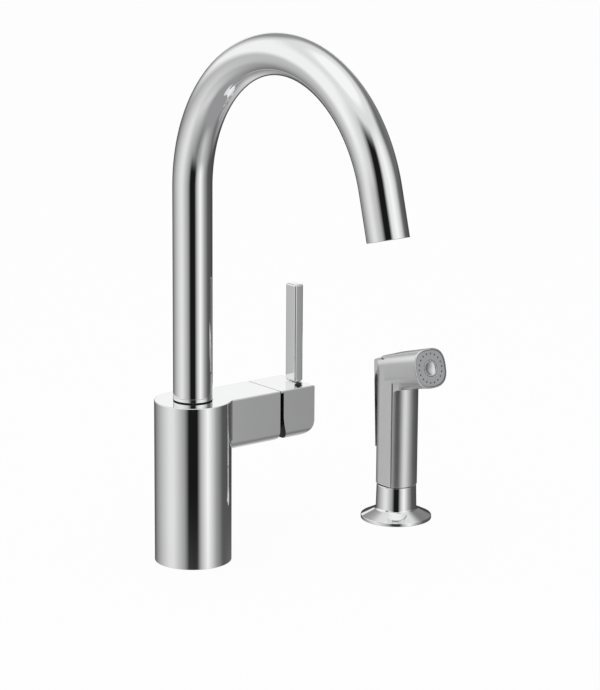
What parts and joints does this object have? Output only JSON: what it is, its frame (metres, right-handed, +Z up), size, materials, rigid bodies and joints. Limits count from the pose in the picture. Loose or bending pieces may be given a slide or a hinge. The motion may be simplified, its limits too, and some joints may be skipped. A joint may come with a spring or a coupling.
{
  "type": "side spray kitchen faucet",
  "caption": "Single-handle kitchen faucet with a high arched swivel spout, a side valve arm with an upright bar lever, and a separate lift-out side spray in its own deck holder.",
  "frame": {"origin": "centre of the faucet's base on the top of the sink deck, on the axis of its deck hole", "axes": "+Z up along the body, -Y the way the spout and the spray head point, +X the side that the valve arm and the side spray are on"},
  "size_m": [0.2363, 0.2509, 0.4646],
  "materials": {
    "chrome": "polished chrome plate",
    "plated_plastic": "soft chrome plate on plastic",
    "brass": "machined, unplated",
    "copper": "drawn tube",
    "steel": "machined stainless",
    "rubber": "moulded",
    "black_plastic": "moulded",
    "white_plastic": "moulded",
    "grey_plastic": "moulded"
  },
  "bodies": {
    "faucet_base": {"body_housing": "chrome", "mounting_shank": "brass", "base_gasket": "rubber", "mounting_washer": "steel", "mounting_nut": "brass", "hot_supply_tube": "copper", "cold_supply_tube": "copper", "spray_outlet_tube": "copper", "diverter_valve": "white_plastic", "spout_glide_ring": "chrome", "cartridge_body": "white_plastic", "cartridge_ring_nut": "brass", "cartridge_dome": "black_plastic", "spray_holder": "chrome", "spray_holder_shank": "white_plastic", "spray_guide_sleeve": "black_plastic", "spray_base_gasket": "rubber", "spray_mounting_washer": "steel", "spray_mounting_nut": "white_plastic"},
    "spout": {"spout_tube": "chrome", "spout_ferrule": "brass", "spout_seal_lower": "rubber", "spout_seal_upper": "rubber", "aerator_shell": "chrome", "aerator_insert": "grey_plastic", "aerator_washer": "rubber"},
    "rotor": {"cartridge_rotor": "grey_plastic", "stem_pivot_pin": "steel"},
    "handle": {"cartridge_stem": "steel", "handle_hub": "chrome", "handle_lever": "chrome", "hub_set_screw": "steel", "set_screw_plug": "black_plastic"},
    "hose_end": {"hose_end_stub": "brass"},
    "handset": {"hose_coupling_nut": "brass", "spray_grip": "plated_plastic", "spray_shell": "plated_plastic", "spray_face_plate": "grey_plastic", "spray_face_button": "plated_plastic", "spray_face_seal": "rubber", "spray_head_manifold": "white_plastic", "trigger_pin": "steel", "valve_gland": "brass", "valve_spring": "steel"},
    "trigger": {"spray_trigger": "plated_plastic"},
    "plunger": {"valve_plunger": "steel"}
  },
  "joints": [
    {"name": "spout_swivel", "type": "hinge", "parent": "faucet_base", "child": "spout", "pos_m": [0, 0, 0.1179], "axis": [0, 0, 1], "continuous": true},
    {"name": "handle_temperature", "type": "hinge", "parent": "faucet_base", "child": "rotor", "pos_m": [0.07, 0, 0.099], "axis": [1, 0, 0], "range_deg": [-45, 45]},
    {"name": "handle_flow", "type": "hinge", "parent": "rotor", "child": "handle", "pos_m": [0.07, 0, 0.099], "axis": [0, 1, 0], "range_deg": [0, 22]},
    {"name": "spray_lift", "type": "slide", "parent": "faucet_base", "child": "hose_end", "axis": [0, 0, 1], "range_m": [0, 0.12]},
    {"name": "spray_turn", "type": "hinge", "parent": "hose_end", "child": "handset", "pos_m": [0.1822, -0.0105, 0.02], "axis": [0, 0, 1], "continuous": true},
    {"name": "trigger_squeeze", "type": "hinge", "parent": "handset", "child": "trigger", "pos_m": [0.1822, -0.002, 0.112], "axis": [-1, 0, 0], "range_deg": [0, 5], "stiffness_Nm_per_rad": 0.5, "springref_deg": -14.9},
    {"name": "plunger_push", "type": "slide", "parent": "handset", "child": "plunger", "axis": [0, -1, 0], "range_m": [0, 0.0026], "deforming": ["valve_spring"]}
  ],
  "couplings": [
    {"joint": "plunger_push", "follows": "trigger_squeeze", "m_per_rad": 0.028}
  ]
}
